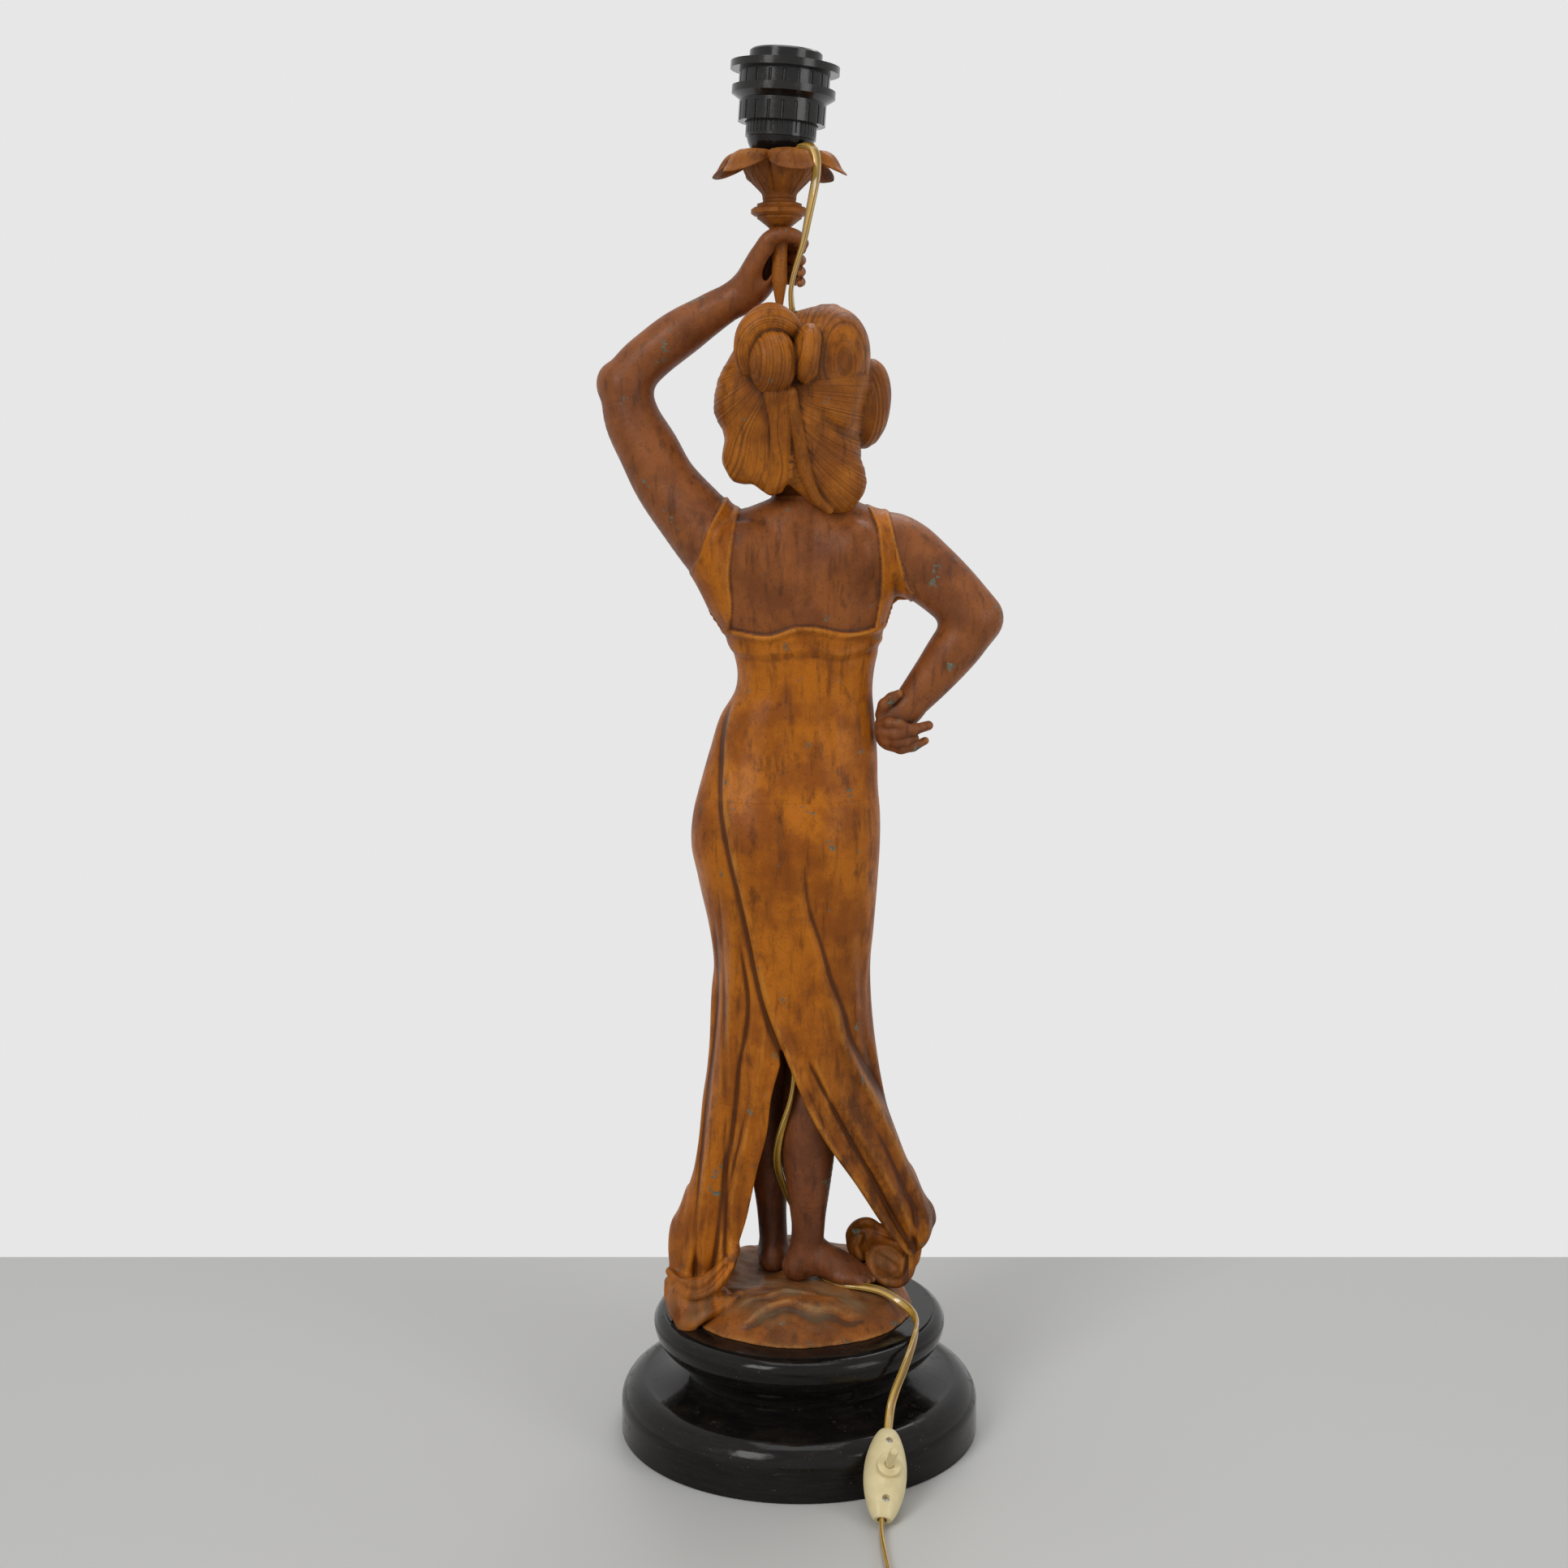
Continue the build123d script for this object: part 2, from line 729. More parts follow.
torch = Plane(origin=(torch_x, 0, level(0)))
with BuildPart() as torch_handle:
    turned(
        torch,
        [
            (0, torch_foot),
            (handle_foot_radius, torch_foot),
            (handle_radius, torch_foot + 13),
            (handle_radius, torch_foot + 30),
            (shaft_radius, handle_top - 4),
            (shaft_radius, handle_top),
            (spigot_radius, handle_top),
            (spigot_radius, handle_top + spigot_length),
            (0, handle_top + spigot_length),
        ],
    )
    add(hair_casting.part, mode=Mode.SUBTRACT)
finish(torch_handle, "torch_handle")

with BuildPart() as torch_knop:
    knop_height = knop_top - handle_top
    turned(
        torch,
        [
            (0, handle_top),
            (shaft_radius, handle_top),
            (shaft_radius + 1.2, handle_top + 0.12 * knop_height),
            (knop_step_radius - 1.5, handle_top + 0.34 * knop_height),
            (knop_step_radius, handle_top + 0.40 * knop_height),
            (knop_step_radius, handle_top + 0.47 * knop_height),
            (knop_radius - 1.6, handle_top + 0.49 * knop_height),
            (knop_radius, handle_top + 0.56 * knop_height),
            (knop_radius, handle_top + 0.68 * knop_height),
            (knop_radius - 1.6, handle_top + 0.75 * knop_height),
            (knop_step_radius, handle_top + 0.77 * knop_height),
            (knop_step_radius, handle_top + 0.86 * knop_height),
            (neck_joint_radius, handle_top + 0.92 * knop_height),
            (neck_joint_radius, knop_top),
            (0, knop_top),
        ],
    )
    turned(
        torch,
        [
            (0, handle_top),
            (spigot_radius, handle_top),
            (spigot_radius, handle_top + spigot_length),
            (0, handle_top + spigot_length),
        ],
        mode=Mode.SUBTRACT,
    )
finish(torch_knop, "torch_knop")

tilt_sine = math.sin(math.radians(holder_tilt))
tilt_cosine = math.cos(math.radians(holder_tilt))
holder = Plane(
    origin=(torch_x, 0, level(holder_seat)),
    x_dir=(tilt_cosine, 0, -tilt_sine),
    z_dir=(tilt_sine, 0, tilt_cosine),
)


def petal_edge(along, half_width):
    """A point of a petal's edge, turned into the frame whose x axis runs down the next notch."""
    half_step = math.pi / petal_count
    return (
        along * math.cos(half_step) + half_width * math.sin(half_step),
        along * math.sin(half_step) - half_width * math.cos(half_step),
    )


cup_top = knop_top + cup_height
with BuildPart() as leaf_cup:
    turned(
        torch,
        [
            (0, knop_top),
            (neck_joint_radius, knop_top),
            (neck_joint_radius + 0.6, knop_top + 2),
            (0.70 * cup_radius, knop_top + 0.25 * cup_height),
            (0.88 * cup_radius, knop_top + 0.42 * cup_height),
            (cup_radius, knop_top + 0.64 * cup_height),
            (cup_radius, knop_top + 0.84 * cup_height),
            (cup_radius - 1.0, cup_top),
            (cup_radius - 1.0 - cup_wall, cup_top),
            (cup_radius - cup_wall, knop_top + 0.82 * cup_height),
            (cup_radius - cup_wall, knop_top + 0.66 * cup_height),
            (0.88 * cup_radius - cup_wall, knop_top + 0.48 * cup_height),
            (0.70 * cup_radius - cup_wall, knop_top + 0.34 * cup_height),
            (neck_joint_radius - 1.0, knop_top + 5.0),
            (0, knop_top + 5.0),
        ],
    )
    with BuildSketch(Plane(origin=torch.origin, x_dir=(1, 0, 0), z_dir=(0, -1, 0))):
        with BuildLine():
            Spline(
                (cup_radius - 1.0, cup_top),
                (cup_radius + 3.8, cup_top + 3.6),
                (petal_reach - 6.0, cup_top + 4.4),
                (petal_reach - 1.4, cup_top + 0.2),
                (petal_reach, cup_top - 9.0),
            )
            Polyline(
                (petal_reach, cup_top - 9.0),
                (petal_reach - 1.4, cup_top - 9.4),
            )
            Spline(
                (petal_reach - 1.4, cup_top - 9.4),
                (petal_reach - 1.4 - petal_thickness, cup_top - 0.6),
                (petal_reach - 6.8, cup_top + 4.4 - petal_thickness),
                (cup_radius + 4.2, cup_top + 3.2 - petal_thickness),
                (cup_radius - 0.4, cup_top - 4.0),
            )
            Line((cup_radius - 0.4, cup_top - 4.0), (cup_radius - 1.0, cup_top))
        make_face()
    revolve(axis=Axis(torch.origin, (0, 0, 1)))
    petal_half = cup_radius * math.sin(math.pi / petal_count)
    notch_side = [
        petal_edge(cup_radius, 1.01 * petal_half),
        petal_edge(petal_reach - 9, 0.98 * petal_half),
        petal_edge(petal_reach - 4, 0.64 * petal_half),
        petal_edge(petal_reach + 1, 0.05 * petal_half),
        petal_edge(petal_reach + 8, 0.0),
    ]
    with BuildSketch(Plane(origin=(torch_x, 0, level(cup_top - 12)))):
        for turn in range(petal_count):
            angle = first_notch_angle + turn * 360 / petal_count
            with BuildLine(Plane(origin=(0, 0, 0), x_dir=Vector(1, 0, 0).rotate(Axis.Z, angle))):
                Polyline(
                    (cup_radius, 0),
                    *notch_side,
                    *[(x, -y) for x, y in reversed(notch_side)],
                    close=True,
                )
            make_face()
    extrude(amount=20, mode=Mode.SUBTRACT)
    clear_route(upper_route[:4], cord_hole_radius)
    with Locations(Plane(origin=holder.origin, z_dir=-holder.z_dir)):
        Cylinder(
            nipple_radius + nipple_clearance,
            nipple_drop + nipple_clearance,
            align=(Align.CENTER, Align.CENTER, Align.MIN),
            mode=Mode.SUBTRACT,
        )
finish(leaf_cup, "leaf_cup")

# ---------------------------------------------------------------------------
# Arms and hands, each cut to sit against what it is soldered to
# ---------------------------------------------------------------------------

left_upper_arm = [
    (-40.0, 0.0, 446.0, 22.5),
    (-55.0, 1.0, 466.0, 20.5),
    (-71.0, 3.0, 488.0, 17.5),
    (-85.0, 5.0, 511.0, 15.8),
    (-96.0, 6.0, 530.0, 14.6),
    (-100.5, 7.0, 543.0, 13.6),
]
left_forearm = [
    (-100.5, 7.0, 543.0, 13.3),
    (-85.0, 8.0, 554.5, 13.2),
    (-66.5, 8.0, 567.5, 12.0),
    (-48.0, 8.0, 579.5, 10.0),
    (-34.5, 7.0, 589.5, 8.6),
]
with BuildPart() as left_arm_casting:
    limb(left_upper_arm)
    limb(left_forearm, balls=(-1,))
    limb(left_upper_arm[1:], inset=casting_wall, balls=(-1,), mode=Mode.SUBTRACT)
    limb(left_forearm[:-1], inset=casting_wall, balls=(), mode=Mode.SUBTRACT)
    add(torso_form.part, mode=Mode.SUBTRACT)
    keep_largest(left_arm_casting)
finish(left_arm_casting, "left_arm_casting")

finger_levels = [613.0, 606.0, 599.0, 592.5]
with BuildPart() as left_hand_casting:
    limb(
        [
            (-34.0, 6.8, 590.0, 8.3),
            (-29.0, 5.5, 597.0, 9.6),
            (-23.5, 4.0, 604.0, 9.6),
            (-20.5, 2.0, 611.0, 7.6),
        ]
    )
    for height in finger_levels:
        limb(
            [
                (-23.0, 5.0, height, 3.3),
                (-17.0, 8.9, height + 0.4, 3.3),
                (-9.5, 9.3, height, 3.2),
                (-3.6, 4.8, height - 0.8, 3.1),
                (-2.6, -1.0, height - 1.6, 2.9),
            ],
            across=(0, 0, 1),
        )
    limb(
        [
            (-27.0, -1.0, 600.0, 5.0),
            (-21.0, -6.6, 609.0, 4.6),
            (-13.0, -9.4, 615.5, 4.0),
            (-5.5, -8.4, 617.0, 3.5),
        ]
    )
    add(torch_handle.part, mode=Mode.SUBTRACT)
    add(left_arm_casting.part, mode=Mode.SUBTRACT)
    keep_largest(left_hand_casting)
finish(left_hand_casting, "left_hand_casting")

right_upper_arm = [
    (45.0, -1.0, 449.0, 20.5),
    (57.0, -3.0, 444.0, 19.5),
    (70.0, -6.0, 436.0, 18.0),
    (83.0, -9.0, 425.0, 16.8),
    (94.0, -10.0, 414.0, 16.2),
    (98.5, -10.0, 407.0, 15.5),
]
right_forearm = [
    (98.5, -10.0, 407.0, 15.2),
    (90.0, -10.0, 395.0, 14.4),
    (80.0, -10.0, 383.0, 13.0),
    (69.0, -9.5, 370.5, 11.2),
    (58.5, -9.0, 357.0, 9.0),
]
with BuildPart() as right_arm_casting:
    limb(right_upper_arm)
    limb(right_forearm, balls=(-1,))
    limb(right_upper_arm[1:], inset=casting_wall, balls=(-1,), mode=Mode.SUBTRACT)
    limb(right_forearm[:-1], inset=casting_wall, balls=(), mode=Mode.SUBTRACT)
    add(torso_form.part, mode=Mode.SUBTRACT)
    keep_largest(right_arm_casting)
finish(right_arm_casting, "right_arm_casting")

with BuildPart() as right_hand_casting:
    limb([(58.0, -9.2, 355.5, 8.7), (56.0, -9.0, 349.0, 10.0), (51.0, -9.5, 344.0, 9.4)])
    for index, height in enumerate([350.0, 346.0, 341.5, 337.5]):
        limb(
            [
                (47.0, -14.0, height, 4.2),
                (56.0, -17.5, height, 4.2),
                (64.0, -17.0, height - 0.5, 3.9),
                (70.0 - 1.5 * index, -14.0, height - 1.0, 3.4),
            ],
            across=(0, 0, 1),
        )
    limb([(50.0, -14.0, 352.0, 4.6), (54.0, -18.0, 357.0, 4.2), (58.0, -19.0, 361.0, 3.6)])
    add(right_arm_casting.part, mode=Mode.SUBTRACT)
    add(torso_form.part, mode=Mode.SUBTRACT)
    keep_largest(right_hand_casting)
finish(right_hand_casting, "right_hand_casting")

# ---------------------------------------------------------------------------
# Lampholder: heights are measured up its own tilted axis from its seat
# ---------------------------------------------------------------------------

cap_foot = -3.0
cap_floor = 1.2
with BuildPart() as holder_cap:
    turned(
        holder,
        [
            (nipple_radius, cap_foot),
            (10.5, cap_foot),
            (14.2, cap_foot + 2.0),
            (16.2, cap_foot + 5.0),
            (17.8, cap_foot + 8.2),
            (18.8, cap_height - cap_band_height - 0.2),
            (cap_band_radius, cap_height - cap_band_height),
            (cap_band_radius, cap_height),
            (cap_band_radius - cap_wall, cap_height),
            (cap_band_radius - cap_wall, cap_height - cap_band_height),
            (14.0, cap_floor + 3.2),
            (10.5, cap_floor),
            (nipple_radius, cap_floor),
        ],
    )
    for turn in range(cap_rib_count):
        groove = Rot(0, 0, turn * 360 / cap_rib_count) * Pos(cap_band_radius, 0, cap_height)
        with Locations(holder * groove):
            Cylinder(0.55, 2 * (cap_band_height - 1.5), mode=Mode.SUBTRACT)
    clear_route(upper_route[:3], cord_radius)
finish(holder_cap, "holder_cap")

spigot_depth = 4.0
with BuildPart() as holder_skirt:
    turned(
        holder,
        [
            (skirt_bore, cap_height - spigot_depth),
            (cap_band_radius - cap_wall, cap_height - spigot_depth),
            (cap_band_radius - cap_wall, cap_height),
            (skirt_thread_radius, cap_height),
            (skirt_thread_radius, skirt_top - skirt_chamfer - skirt_collar_height),
            (skirt_radius, skirt_top - skirt_chamfer - skirt_collar_height),
            (skirt_radius, skirt_top - skirt_chamfer),
            (skirt_radius - skirt_chamfer, skirt_top),
            (skirt_mouth_radius, skirt_top),
            (skirt_mouth_radius, skirt_top - 14),
            (skirt_bore, skirt_top - 17),
        ],
    )
finish(holder_skirt, "holder_skirt")

insert_foot = 7.0
insert_floor = insert_foot + insert_height
insert_top = insert_floor + insert_well_depth
with BuildPart() as holder_insert:
    turned(
        holder,
        [
            (0, insert_foot),
            (insert_radius - 2, insert_foot),
            (insert_radius, insert_foot + 3),
            (insert_radius, insert_top),
            (insert_radius - insert_rim, insert_top),
            (insert_radius - insert_rim, insert_floor),
            (0, insert_floor),
        ],
    )
    with Locations(holder * Pos(7.5, 0, insert_foot), holder * Pos(-7.5, 0, insert_foot)):
        Cylinder(1.5, 7, mode=Mode.SUBTRACT)
finish(holder_insert, "holder_insert")

with BuildPart() as terminal_screws:
    with Locations(holder * Pos(7.5, 0, insert_foot), holder * Pos(-7.5, 0, insert_foot)):
        Cylinder(1.5, 3.5, align=(Align.CENTER, Align.CENTER, Align.MIN))
        Cylinder(2.7, 2.0, align=(Align.CENTER, Align.CENTER, Align.MAX))
finish(terminal_screws, "terminal_screws")

shell_outer_radius = shell_inner_radius + shell_wall
with BuildPart() as screw_shell:
    turned(
        holder,
        [
            (shell_inner_radius, insert_top),
            (shell_outer_radius, insert_top),
            (shell_outer_radius, insert_top + shell_height),
            (shell_inner_radius, insert_top + shell_height),
        ],
    )
finish(screw_shell, "screw_shell")

with BuildPart() as centre_contact:
    turned(
        holder,
        [
            (0, insert_floor),
            (4.5, insert_floor),
            (4.5, insert_floor + 0.8),
            (2.5, insert_floor + 3.5),
            (0, insert_floor + 3.5),
        ],
    )
finish(centre_contact, "centre_contact")

with BuildPart() as side_contact:
    with Locations(holder * Pos(insert_radius - insert_rim - 2.4, 0, insert_floor)):
        Box(4.0, 4.0, 0.8, align=(Align.CENTER, Align.CENTER, Align.MIN))
        Box(0.8, 4.0, 5.0, align=(Align.MAX, Align.CENTER, Align.MIN))
finish(side_contact, "side_contact")

with BuildPart() as nipple_tube:
    turned(
        holder,
        [
            (nipple_bore, -nipple_drop),
            (nipple_radius, -nipple_drop),
            (nipple_radius, cap_floor + 2),
            (nipple_bore, cap_floor + 2),
        ],
    )
finish(nipple_tube, "nipple_tube")

nipple_nut_foot = knop_top + 5.0 - holder_seat + 0.6
with BuildPart() as nipple_nut:
    with BuildSketch(holder.offset(nipple_nut_foot)):
        RegularPolygon(nipple_nut_across_flats / 2, 6, major_radius=False)
        Circle(nipple_radius, mode=Mode.SUBTRACT)
    extrude(amount=nipple_nut_height)
finish(nipple_nut, "nipple_nut")

ring_bore = skirt_radius + ring_clearance
ring_lower_foot = cap_height + ring_clearance
ring_lower_top = ring_lower_foot + ring_lower_height
with BuildPart() as shade_ring_lower:
    turned(
        holder,
        [
            (ring_bore, ring_lower_foot),
            (ring_lower_barrel_radius, ring_lower_foot),
            (ring_lower_barrel_radius, ring_lower_top - ring_flange_thickness - 3),
            (ring_lower_flange_radius, ring_lower_top - ring_flange_thickness),
            (ring_lower_flange_radius, ring_lower_top),
            (ring_bore, ring_lower_top),
        ],
    )
    for turn in range(ring_rib_count):
        groove = Rot(0, 0, turn * 360 / ring_rib_count) * Pos(ring_lower_barrel_radius, 0, ring_lower_foot)
        with Locations(holder * groove):
            Cylinder(0.9, 2 * (ring_lower_height - ring_flange_thickness - 5), mode=Mode.SUBTRACT)
finish(shade_ring_lower, "shade_ring_lower")

ring_upper_foot = ring_lower_top + ring_clearance
ring_upper_top = ring_upper_foot + ring_upper_height
with BuildPart() as shade_ring_upper:
    turned(
        holder,
        [
            (ring_bore, ring_upper_foot),
            (ring_upper_barrel_radius, ring_upper_foot),
            (ring_upper_barrel_radius, ring_upper_top - ring_flange_thickness),
            (ring_upper_flange_radius, ring_upper_top - ring_flange_thickness),
            (ring_upper_flange_radius, ring_upper_top),
            (ring_bore, ring_upper_top),
        ],
    )
    for turn in range(ring_rib_count):
        groove = Rot(0, 0, turn * 360 / ring_rib_count) * Pos(ring_upper_barrel_radius, 0, ring_upper_foot)
        with Locations(holder * groove):
            Cylinder(0.9, 2 * (ring_upper_height - ring_flange_thickness - 1.5), mode=Mode.SUBTRACT)
finish(shade_ring_upper, "shade_ring_upper")

# ---------------------------------------------------------------------------
# In-line switch: x runs up its length, z out of the face with the button
# ---------------------------------------------------------------------------

heading = math.radians(switch_heading)
climb = math.radians(switch_tilt)
along = Vector(math.sin(heading) * math.cos(climb), math.cos(heading) * math.cos(climb), math.sin(climb))
sideways = along.cross(Vector(0, 0, 1)).normalized()
upright = sideways.cross(along)
roll = math.radians(switch_roll)
face_up = upright * math.cos(roll) + sideways * math.sin(roll)
switch = Plane(origin=switch_centre, x_dir=along, z_dir=face_up)

switch_profile = [(-1.0, 0.40), (-0.88, 0.58), (-0.62, 0.80), (-0.32, 0.95), (0.0, 1.0)]
switch_profile += [(-share, swell) for share, swell in reversed(switch_profile[:-1])]


def switch_body(inset, mode=Mode.ADD):
    faces = []
    for share, swell in switch_profile:
        frame = Plane(
            origin=switch.origin + switch.x_dir * share * (switch_length / 2 - inset),
            x_dir=switch.y_dir,
            z_dir=switch.x_dir,
        )
        faces.append(
            oval_face(frame, switch_width / 2 * swell - inset, switch_thickness / 2 * swell - inset)
        )
    loft(sections=faces, mode=mode)


half_thickness = switch_thickness / 2
screw_places = [(-switch_screw_spacing / 2, 0), (switch_screw_spacing / 2, 0)]
cord_ways = [lower_route[-3:], lead_route[:3]]
with BuildPart() as switch_shell_bottom:
    switch_body(0)
    switch_body(switch_wall, mode=Mode.SUBTRACT)
    with BuildSketch(switch.offset(-half_thickness)):
        with Locations(*screw_places):
            Circle(2.6)
    extrude(amount=half_thickness)
    switch_body(0, mode=Mode.INTERSECT)
    split(bisect_by=switch, keep=Keep.BOTTOM)
    with BuildSketch(switch.offset(-3.5)):
        with Locations(*screw_places):
            Circle(1.2)
    extrude(amount=3.5, mode=Mode.SUBTRACT)
    for way in cord_ways:
        clear_route(way, cord_hole_radius - 0.6)
    add(plinth_lower.part, mode=Mode.SUBTRACT)
finish(switch_shell_bottom, "switch_shell_bottom")

with BuildPart() as switch_shell_top:
    switch_body(0)
    switch_body(switch_wall, mode=Mode.SUBTRACT)
    with BuildSketch(switch):
        with Locations(*screw_places):
            Circle(2.9)
    extrude(amount=half_thickness)
    switch_body(0, mode=Mode.INTERSECT)
    split(bisect_by=switch, keep=Keep.TOP)
    with BuildSketch(switch):
        Circle(collar_bush_radius)
        with Locations(*screw_places):
            Circle(1.2)
    extrude(amount=half_thickness + 1, mode=Mode.SUBTRACT)
    with BuildSketch(switch.offset(3.2)):
        with Locations(*screw_places):
            Circle(2.1)
    extrude(amount=half_thickness, mode=Mode.SUBTRACT)
    with BuildSketch(switch.offset(half_thickness - 0.6)):
        Circle(collar_radius)
    extrude(amount=3, mode=Mode.SUBTRACT)
    for way in cord_ways:
        clear_route(way, cord_hole_radius - 0.6)
finish(switch_shell_top, "switch_shell_top")

with BuildPart() as switch_screws:
    with BuildSketch(switch.offset(-3.0)):
        with Locations(*screw_places):
            Circle(1.2)
    extrude(amount=6.2)
    with BuildSketch(switch.offset(3.2)):
        with Locations(*screw_places):
            Circle(2.0)
    extrude(amount=1.6)
    with BuildSketch(switch.offset(4.2)):
        with Locations(*screw_places):
            Rectangle(5.0, 0.6)
    extrude(amount=1, mode=Mode.SUBTRACT)
finish(switch_screws, "switch_screws")

collar_seat = half_thickness - 0.6
bush_foot = half_thickness - switch_wall - 2.0
with BuildPart() as switch_collar:
    with BuildSketch(switch.offset(collar_seat)):
        Circle(collar_radius)
    extrude(amount=collar_height)
    with BuildSketch(switch.offset(bush_foot)):
        Circle(collar_bush_radius)
    extrude(amount=collar_seat - bush_foot)
    with BuildSketch(switch.offset(bush_foot)):
        Circle(button_radius + button_clearance)
    extrude(amount=collar_height + 10, mode=Mode.SUBTRACT)
    fillet(switch_collar.edges().filter_by(GeomType.CIRCLE).sort_by(SortBy.RADIUS)[-1], 0.8)
finish(switch_collar, "switch_collar")

button_flange = 1.2
button_foot = bush_foot - button_clearance - button_flange
with BuildPart() as switch_button:
    with BuildSketch(switch.offset(button_foot)):
        Circle(button_radius)
    extrude(amount=collar_seat + collar_height + button_length - button_foot)
    with BuildSketch(switch.offset(button_foot)):
        Circle(button_radius + 1.2)
    extrude(amount=button_flange)
    fillet(switch_button.faces().sort_by(Axis(switch.origin, switch.z_dir))[-1].edges(), 1.2)
finish(switch_button, "switch_button")

contact_foot = switch_wall + 0.3 - half_thickness
contact_top = button_foot - button_travel - button_clearance
with BuildPart() as switch_contacts:
    with BuildSketch(switch.offset(contact_foot)):
        with Locations((-8.0, 0), (8.0, 0)):
            Rectangle(7.0, 4.0)
    extrude(amount=contact_top - contact_foot)
    add(switch_shell_bottom.part, mode=Mode.SUBTRACT)
finish(switch_contacts, "switch_contacts")

# ---------------------------------------------------------------------------
# Spare cord wound in two layers: in along the table, then out on top of that
# ---------------------------------------------------------------------------

coil_start_x = lead_route[-1][0]
coil_y = lead_route[-1][1] - cord_width
coil_floor = lead_route[-1][2]
coil_top = coil_floor + coil_layer_step
coil_outer_radius = coil_inner_radius + coil_half_turns * coil_pitch / 2


def wind(x, height, radii):
    """Half turns clockwise from above, starting from x on the coil's middle line; gives the last x."""
    side = 1
    for radius in radii:
        ThreePointArc(
            (x, coil_y, height),
            (x - side * radius, coil_y - side * radius, height),
            (x - 2 * side * radius, coil_y, height),
        )
        x -= 2 * side * radius
        side = -side
    return x


with BuildPart() as cord_coil:
    with BuildLine(mode=Mode.PRIVATE) as coil_line:
        Line((coil_start_x, coil_y + cord_width, coil_floor), (coil_start_x, coil_y, coil_floor))
        inward = [coil_outer_radius - coil_pitch / 2 * step for step in range(coil_half_turns)]
        climb_x = wind(coil_start_x, coil_floor, inward)
        climb_middle = (
            climb_x + coil_inner_radius,
            coil_y + math.hypot(coil_inner_radius, coil_layer_step / 2),
            (coil_floor + coil_top) / 2,
        )
        first_climb = TangentArc((climb_x, coil_y, coil_floor), climb_middle, tangent=(0, 1, 0))
        TangentArc(
            climb_middle, (climb_x + 2 * coil_inner_radius, coil_y, coil_top), tangent=first_climb % 1
        )
        outward = [coil_inner_radius + coil_pitch / 2 * (step + 1) for step in range(coil_half_turns - 1)]
        coil_end_x = wind(climb_x + 2 * coil_inner_radius, coil_top, outward)
        Line((coil_end_x, coil_y, coil_top), (coil_end_x, coil_y - cord_width, coil_top))
    coil_path = coil_line.wires()[0]
    with BuildSketch(Plane(origin=coil_path @ 0, z_dir=coil_path % 0)) as section:
        Circle(cord_radius)
    sweep(sections=section.sketch, path=coil_path)
swept = math.pi * cord_radius**2 * coil_path.length
print("cord_coil length", round(coil_path.length, 1), "volume ratio", round(cord_coil.part.volume / swept, 4))
finish(cord_coil, "cord_coil")


def least_gap(path, spacing=3.0):
    """Least distance between points a quarter of the inner turn or more apart, less the cord's width."""
    count = int(path.length / spacing)
    places = [path.position_at(step / count) for step in range(count + 1)]
    apart = int(math.pi * coil_inner_radius / 2 / spacing)
    least = min(
        (places[first] - places[second]).length
        for first in range(count + 1)
        for second in range(first + apart, count + 1)
    )
    return least - cord_width


print("cord_coil least gap to itself", round(least_gap(coil_path), 2))

tie_left = coil_start_x - 2 * coil_outer_radius - cord_radius - tie_clearance
tie_right = climb_x + cord_radius + tie_clearance
tie_bottom = coil_floor - cord_radius - tie_clearance
tie_top = coil_top + cord_radius + tie_clearance
with BuildPart() as cord_tie:
    with BuildSketch(Plane(origin=(0, coil_y + tie_width / 2, 0), x_dir=(1, 0, 0), z_dir=(0, -1, 0))):
        with Locations(((tie_left + tie_right) / 2, (tie_bottom + tie_top) / 2)):
            RectangleRounded(
                tie_right - tie_left + 2 * tie_thickness,
                tie_top - tie_bottom + 2 * tie_thickness,
                cord_radius + tie_thickness / 2,
            )
            RectangleRounded(tie_right - tie_left, tie_top - tie_bottom, cord_radius, mode=Mode.SUBTRACT)
    extrude(amount=tie_width)
finish(cord_tie, "cord_tie")

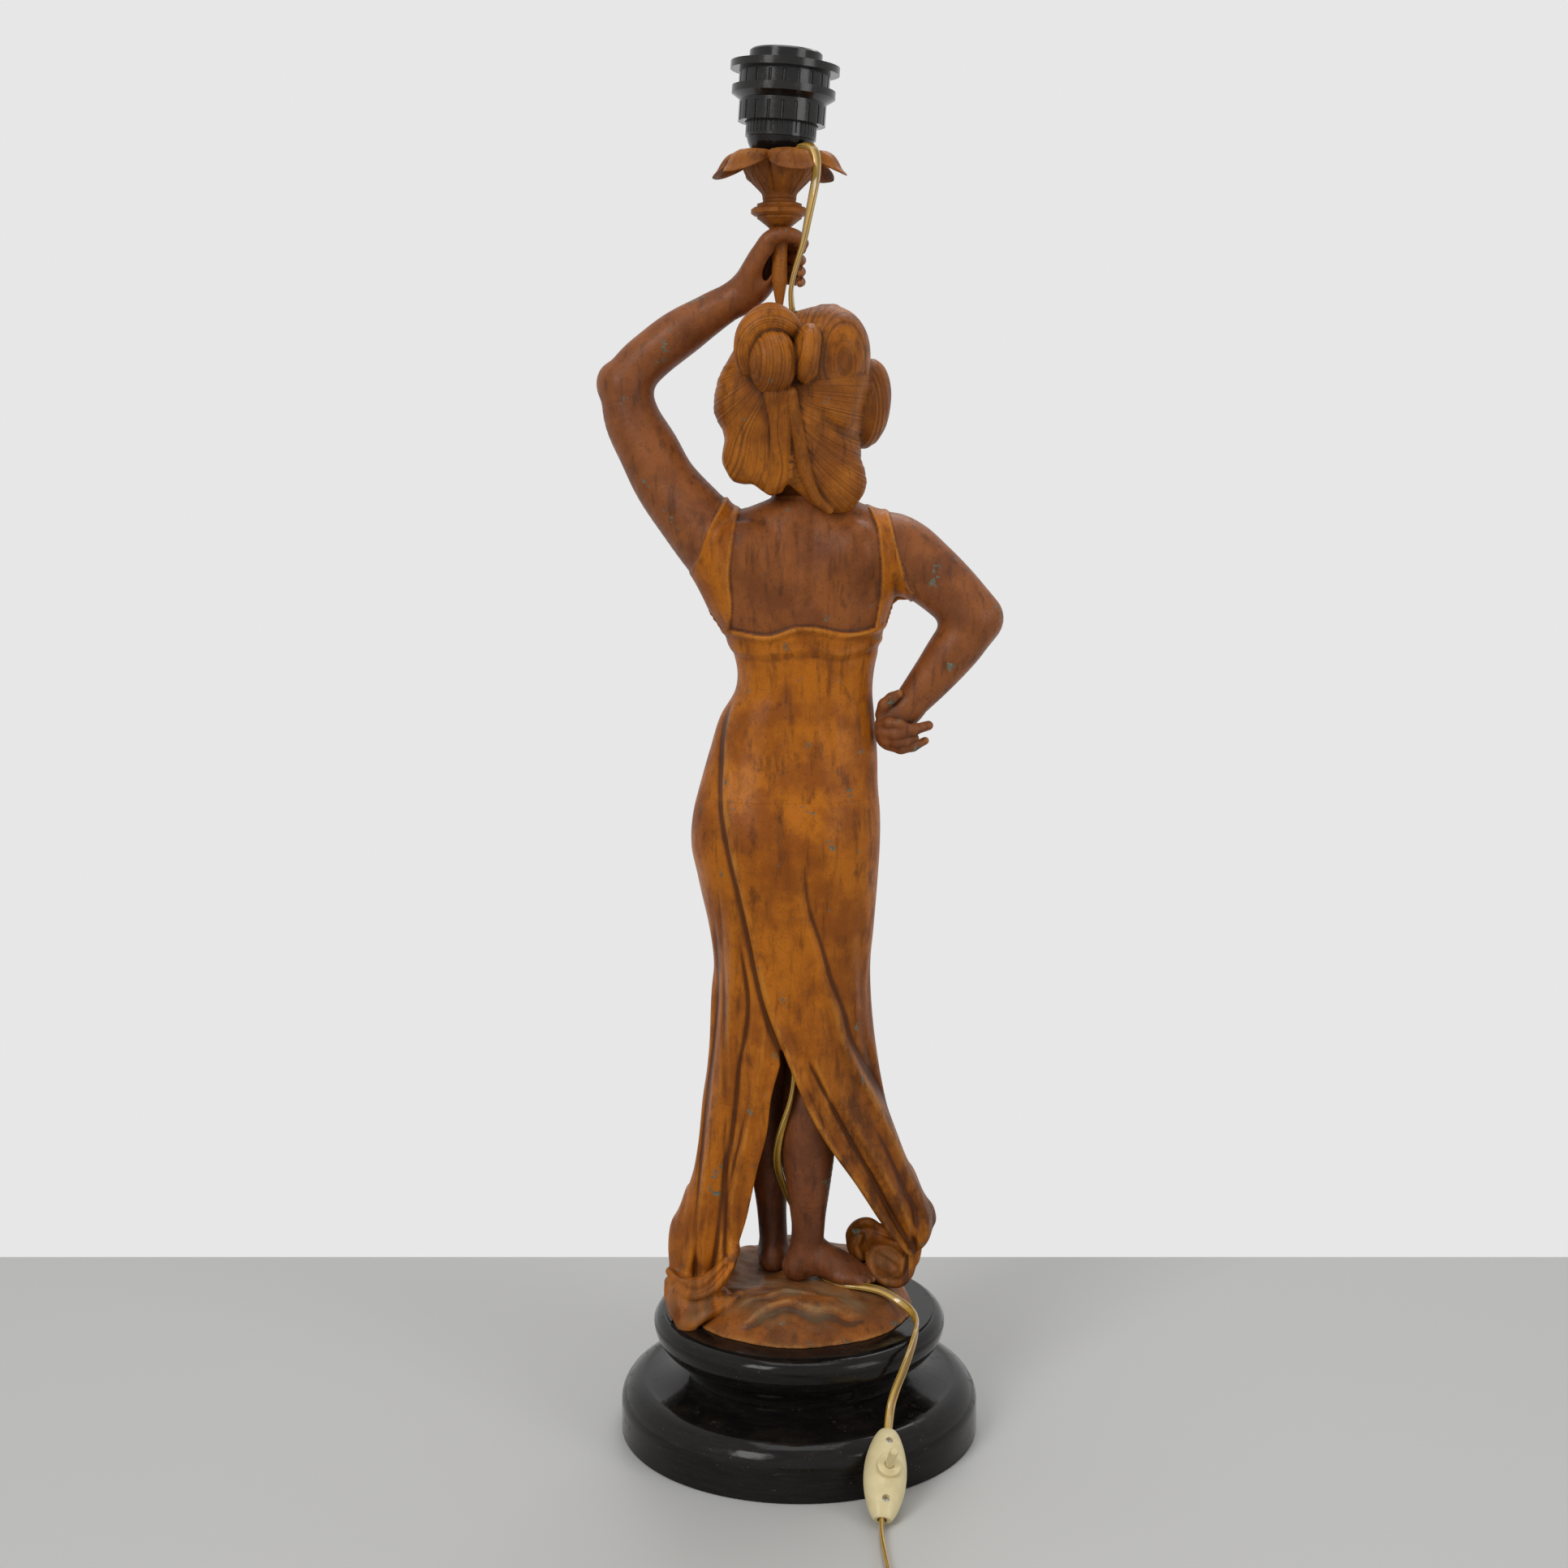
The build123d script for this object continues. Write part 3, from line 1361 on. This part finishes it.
plug_middle = plug_thickness / 2
plug_back_x = plug_back[0]
plug_y = plug_back[1]
relief_tip_x = plug_back_x + plug_relief_length
tail_route = [
    (coil_end_x, coil_y - cord_width, coil_top),
    (coil_end_x, coil_y - 17.0, coil_top),
    (coil_end_x - 1.0, coil_y - 30.0, coil_top - 1.6),
    (coil_end_x - 7.5, coil_y - 42.0, coil_top - 4.0),
    (coil_end_x - 17.0, coil_y - 49.6, coil_top - 4.6),
    (relief_tip_x + 10.0, plug_y, plug_middle),
    (relief_tip_x, plug_y, plug_middle),
]
cord_tail = cord_piece(tail_route, "cord_tail")

with BuildPart() as plug_body:
    with BuildSketch(Plane.XY):
        with BuildLine():
            Polyline(
                (plug_back_x, plug_y - plug_back_width / 2),
                (plug_back_x - 0.4 * plug_depth, plug_y - plug_width / 2),
                (plug_back_x - plug_depth, plug_y - plug_width / 2),
                (plug_back_x - plug_depth, plug_y + plug_width / 2),
                (plug_back_x - 0.4 * plug_depth, plug_y + plug_width / 2),
                (plug_back_x, plug_y + plug_back_width / 2),
                close=True,
            )
        make_face()
    extrude(amount=plug_thickness)
    fillet(plug_body.edges().filter_by(Axis.Z), 2.5)
    chamfer(plug_body.faces().sort_by(Axis.Z)[-1].edges(), 1.6)
    chamfer(plug_body.faces().sort_by(Axis.Z)[0].edges(), 1.6)
finish(plug_body, "plug_body")

plug_front = Plane(
    origin=(plug_back_x - plug_depth, plug_y, plug_middle), x_dir=(0, 1, 0), z_dir=(-1, 0, 0)
)
with BuildPart() as plug_pins:
    with BuildSketch(plug_front):
        with GridLocations(plug_pin_spacing, 1, 2, 1):
            Circle(plug_pin_radius)
    extrude(amount=plug_pin_length)
    fillet(plug_pins.faces().sort_by(Axis.X)[:2].edges(), 1.2)
finish(plug_pins, "plug_pins")

with BuildPart() as plug_relief:
    with Locations(Plane(origin=(plug_back_x, plug_y, plug_middle), z_dir=(1, 0, 0))):
        Cone(
            plug_back_width / 2 - 1.8,
            cord_radius + 0.8,
            plug_relief_length,
            align=(Align.CENTER, Align.CENTER, Align.MIN),
        )
finish(plug_relief, "plug_relief")
